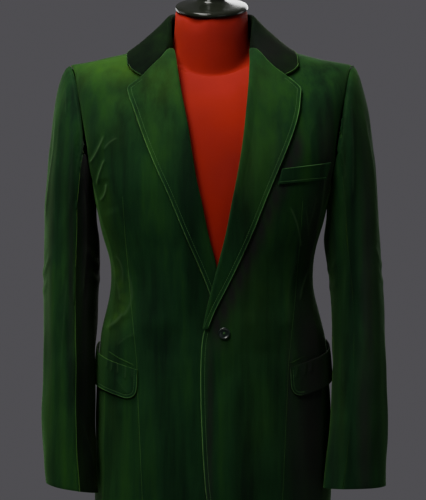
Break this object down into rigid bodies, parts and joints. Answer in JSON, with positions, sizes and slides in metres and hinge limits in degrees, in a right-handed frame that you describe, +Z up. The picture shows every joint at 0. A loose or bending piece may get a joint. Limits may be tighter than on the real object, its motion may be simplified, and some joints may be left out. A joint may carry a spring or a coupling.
{
  "type": "smoking jacket on a limbless dress form",
  "caption": "Bottle-green velvet smoking jacket with notch lapels, welt pocket and flap pockets, worn by a limbless dress form on a round stand.",
  "frame": {"origin": "on the floor, at the centre of the stand's round base", "axes": "+Z up, -Y the front of the jacket, +X the wearer's left"},
  "size_m": [0.5345, 0.4, 1.5615],
  "materials": {
    "velvet": "cut pile, soft sheen",
    "form_cloth": "knitted jersey",
    "cap_black": "gloss lacquer",
    "stand_black": "gloss",
    "button_black": "satin"
  },
  "bodies": {
    "root": {"right_front": "velvet", "left_front": "velvet", "right_side_body": "velvet", "left_side_body": "velvet", "right_back": "velvet", "left_back": "velvet", "right_lapel": "velvet", "left_lapel": "velvet", "collar": "velvet", "right_top_sleeve": "velvet", "left_top_sleeve": "velvet", "right_under_sleeve": "velvet", "left_under_sleeve": "velvet", "right_flap": "velvet", "left_flap": "velvet", "breast_welt": "velvet", "front_button": "button_black", "form_torso": "form_cloth", "neck_cap": "cap_black", "stand_pole": "stand_black", "stand_base": "stand_black"}
  },
  "joints": []
}
